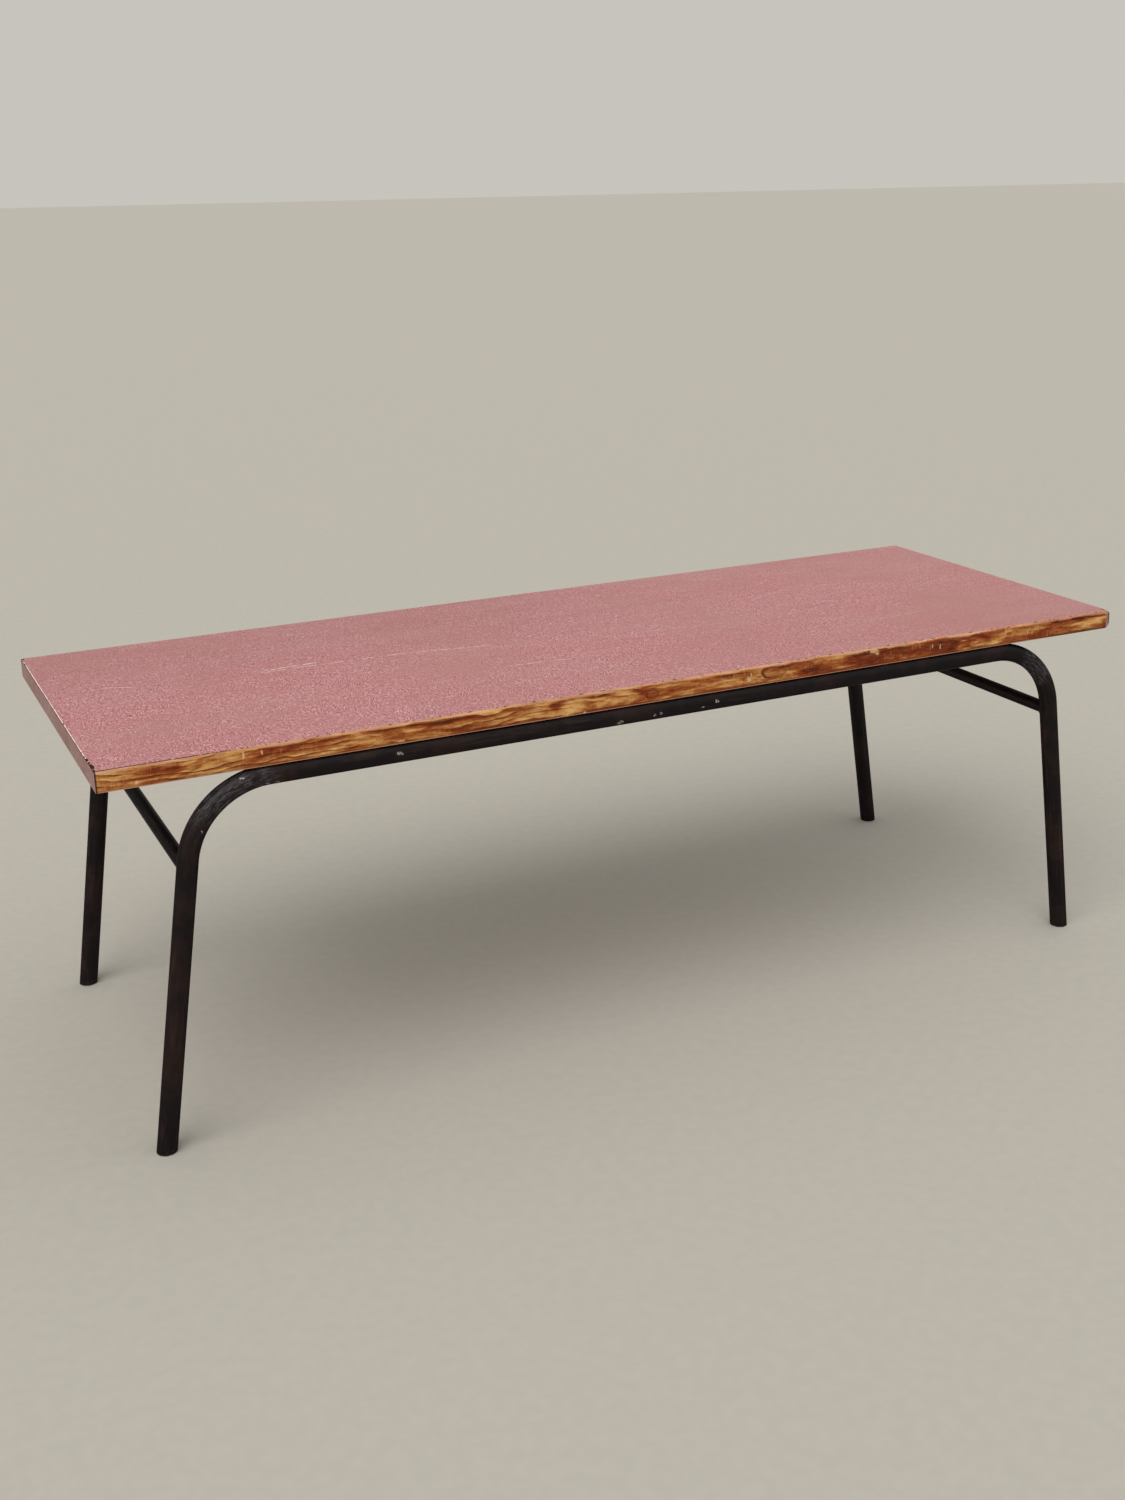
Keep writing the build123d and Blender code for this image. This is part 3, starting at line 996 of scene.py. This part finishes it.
def cross_bar(end):
    """One bar, coped at both ends to sit round the legs."""
    rings = []
    along = []
    for share in spread(-1.0, 1.0, 30):
        ring = []
        for angle in round_angles(48):
            y = share * bar_end_y(angle)
            ring.append(round_bar(end, 1, angle, 0.0, y))
            along.append((y, angle * bar_radius))
        rings.append(ring)
    return loft(rings), along


def bar_weld(end, side):
    """The bead round one end of a bar, with the ripples that a hand weld leaves."""
    ripples = 34
    rings = []
    for angle in round_angles(150):
        uneven = 1 + 0.16 * noise.noise(Vector((cos(angle) * 2, sin(angle) * 2, end * 3 + side * 7)))
        width = bead_width * uneven
        lumps = noise.noise(Vector((angle * 3, end, side)))
        swell = 0.62 + 0.1 * abs(sin(angle * ripples / 2)) + 0.06 * lumps
        corner = round_bar(end, side, angle, 0.0, bar_end_y(angle))
        on_bar = round_bar(end, side, angle, 0.0, bar_end_y(angle) - width)
        on_leg = round_bar(end, side, angle, width, bar_end_y(angle, width))
        crest = corner + (on_bar - corner) * swell + (on_leg - corner) * swell
        curve = [on_bar * (1 - t) ** 2 + crest * 2 * t * (1 - t) + on_leg * t**2 for t in spread(0.0, 1.0, 8)]
        rings.append([corner, *curve])
    return loft(rings, joined_ends=True)


for end_name, end in ENDS.items():
    shape, along = cross_bar(end)
    replaced = [f"{end_name}_cross_bar"]
    add_piece(f"{end_name}_coped_bar", shape, [tube_enamel], replaced, along=along)

bar_beads = joined(*[bar_weld(end, side) for end in ENDS.values() for side in SIDES.values()])
add_piece("bar_weld_beads", bar_beads, [plain_enamel], ["cross_bar_welds"], sharp_angle=60)


# ---- lug welds
def lug_weld(station, side):
    """A short rippled bead in the corner between a lug and its rail."""
    centre_y = rail_y - lug_bead_inset
    centre_z = lug_underside - lug_bead_drop
    rings = []
    for share in spread(-1.0, 1.0, 64):
        taper = sqrt(max(0.0, 1 - abs(share) ** 6))
        ripple = 1 + 0.09 * abs(sin(share * 22)) + 0.08 * noise.noise(Vector((station * 9, share * 4, side)))
        radius = max(lug_bead_radius * taper * ripple, 0.2 * MM)
        ring = []
        for angle in round_angles(14):
            y = side * (centre_y + radius * cos(angle))
            ring.append((station + share * lug_bead_length / 2, y, centre_z + radius * sin(angle)))
        rings.append(ring)
    return loft(rings)


lug_beads = joined(*[lug_weld(station, side) for station in lug_stations for side in SIDES.values()])
add_piece("lug_weld_beads", lug_beads, [plain_enamel], ["lug_welds"], sharp_angle=60)


# ---- foot plugs
def plug_material():
    """Dull black plug, scuffed pale where it drags on the floor."""
    graph = Graph("foot_plug_rubber")
    cloudy = graph.noise(graph.place, 60.0, 4.0, 0.6)
    graph.colour = graph.mix(graph.step(cloudy, 0.4, 0.7), rgb(26, 23, 23), rgb(48, 43, 41))
    low = graph.step(graph.z, 2.2 * MM, 0.2 * MM)
    scuff = graph.times(graph.step(graph.noise(graph.place, 260.0, 3.0), 0.45, 0.62), low)
    graph.paint(scuff, rgb(142, 134, 124), 0.7)
    return graph.finish(0.7, graph.noise(graph.place, 700.0, 2.0), 0.1 * MM, specular=0.3)


def foot_plug(end, side):
    """The plug's head: an upright slice of the slanting tube, with a fine groove and a rounded lower edge."""
    stretch = 1 / cos(splay)
    # (height, inset) in millimetres: rounded lower edge, side, groove under the tube and stem inside it
    profile = [(0, 1.3), (0.12, 0.7), (0.4, 0.28), (0.9, 0.06), (1.4, 0)]
    profile += [(2.45, 0), (2.6, 0.45), (2.95, 0.5), (3, 1.7), (14, 1.9)]
    rings = []
    for height, inset in in_metres(2, profile):
        radius = tube_radius - inset
        centre_x = end * (foot_x - height * tan(splay))
        ring = []
        for angle in round_angles(56):
            y = side * rail_y + radius * sin(angle)
            ring.append((centre_x + radius * stretch * cos(angle), y, height))
        rings.append(ring)
    return loft(rings)


plug_rubber = plug_material()
for side_name, side in SIDES.items():
    for end_name, end in ENDS.items():
        plug = foot_plug(end, side)
        replaced = [f"foot_plug_{side_name}_{end_name}"]
        add_piece(f"{side_name}_{end_name}_plug", plug, [plug_rubber], replaced, sharp_angle=50)


# ---- nodes that keep their CAD shape
def backing_material():
    """Brown paper-based balancing sheet, mottled and lightly scraped."""
    graph = Graph("backing_brown")
    mottled = graph.noise(graph.place, 7.0, 5.0, 0.65)
    fibres = graph.grain(graph.place, (60.0, 500.0, 500.0), 3.0, 0.6)
    stops = [(0.3, rgb(96, 68, 48)), (0.5, rgb(118, 86, 60)), (0.7, rgb(136, 102, 74))]
    graph.colour = graph.ramp(mottled, stops)
    graph.paint(graph.step(fibres, 0.45, 0.7, 0.0, 0.4), rgb(78, 54, 38))
    drips = graph.step(graph.noise(graph.place, 38.0, 2.0), 0.7, 0.74)
    graph.paint(drips, rgb(168, 138, 104), 0.5)
    return graph.finish(graph.step(mottled, 0.3, 0.7, 0.5, 0.66), fibres, 0.1 * MM)


def core_material():
    """Strips of pale softwood in the panel, seen only where the edge is broken."""
    graph = Graph("core_wood")
    strip = graph.grain(graph.place, (3.0, 40.0, 40.0), 3.0)
    fibre = graph.grain(graph.place, (30.0, 600.0, 600.0), 3.0)
    graph.colour = graph.ramp(strip, [(0.35, rgb(186, 148, 104)), (0.65, rgb(214, 178, 130))])
    graph.paint(graph.step(fibre, 0.5, 0.7, 0.0, 0.4), rgb(142, 104, 66))
    return graph.finish(0.7, fibre, 0.15 * MM)


def screw_material():
    """Dull bright steel, brown in the slots."""
    graph = Graph("screw_steel")
    tarnish = graph.noise(graph.place, 500.0, 4.0, 0.6)
    stops = [(0.35, rgb(112, 98, 84)), (0.55, rgb(160, 154, 146)), (0.75, rgb(186, 182, 176))]
    graph.colour = graph.ramp(tarnish, stops)
    roughness = graph.step(tarnish, 0.35, 0.7, 0.55, 0.3)
    return graph.finish(roughness, tarnish, 0.05 * MM, metallic=1.0)


def dress(node, material):
    """Gives a CAD node that keeps its shape a finished material."""
    for slot in frame["nodes"][node].material_slots:
        slot.material = material


dress("backing_sheet", backing_material())
dress("core_panel", core_material())
dress("fixing_screws", screw_material())
for side_name in SIDES:
    for number in range(1, len(lug_stations) + 1):
        dress(f"{side_name}_fixing_lug_{number}", plain_enamel)


# ---- floor, light and camera
def floor_material():
    """Plain pale matte floor."""
    graph = Graph("studio_floor")
    fine = graph.noise(graph.place, 40.0, 3.0)
    graph.colour = graph.mix(graph.step(fine, 0.3, 0.7), rgb(177, 173, 165), rgb(180, 176, 168))
    return graph.finish(0.85, specular=0.2)


floor_reach = 120.0
corners = [(x * floor_reach, y * floor_reach, 0) for x, y in ((-1, -1), (1, -1), (1, 1), (-1, 1))]
floor_mesh = bpy.data.meshes.new("floor")
floor_mesh.from_pydata(corners, [], [(0, 1, 2, 3)])
floor_mesh.materials.append(floor_material())
floor = bpy.data.objects.new("floor", floor_mesh)
bpy.context.collection.objects.link(floor)

world = bpy.data.worlds.new("studio")
world.use_nodes = True
sky = world.node_tree.nodes["Background"].inputs
sky["Color"].default_value = rgb(214, 211, 204)
sky["Strength"].default_value = 0.85
bpy.context.scene.world = world


def add_sun(name, azimuth, elevation, strength, spread, colour):
    """A soft distant light. Azimuth 0 is from the front (-Y), and positive is towards the right."""
    data = bpy.data.lights.new(name, "SUN")
    data.energy = strength
    data.angle = radians(spread)
    data.color = colour
    lamp = bpy.data.objects.new(name, data)
    a, e = radians(azimuth), radians(elevation)
    toward_light = Vector((sin(a) * cos(e), -cos(a) * cos(e), sin(e)))
    lamp.rotation_euler = toward_light.to_track_quat("Z", "Y").to_euler()
    bpy.context.collection.objects.link(lamp)


add_sun("key", -50, 52, 1.7, 50, (1.0, 0.985, 0.96))
add_sun("fill", 60, 60, 0.5, 90, (0.95, 0.97, 1.0))

camera_place = Vector((-1.5085, -3.0640, 1.6770))
camera_yaw = 0.44368
camera_pitch = 0.33492
camera_roll = 0.016717
camera_data = bpy.data.cameras.new("camera")
camera_data.sensor_width = 36.0
camera_data.lens = 39.795
camera = bpy.data.objects.new("camera", camera_data)
camera.matrix_world = (
    Matrix.Translation(camera_place)
    @ Matrix.Rotation(-camera_yaw, 4, "Z")
    @ Matrix.Rotation(pi / 2 - camera_pitch, 4, "X")
    @ Matrix.Rotation(-camera_roll, 4, "Z")
)
bpy.context.collection.objects.link(camera)
bpy.context.scene.camera = camera
bpy.context.scene.view_settings.view_transform = "Standard"
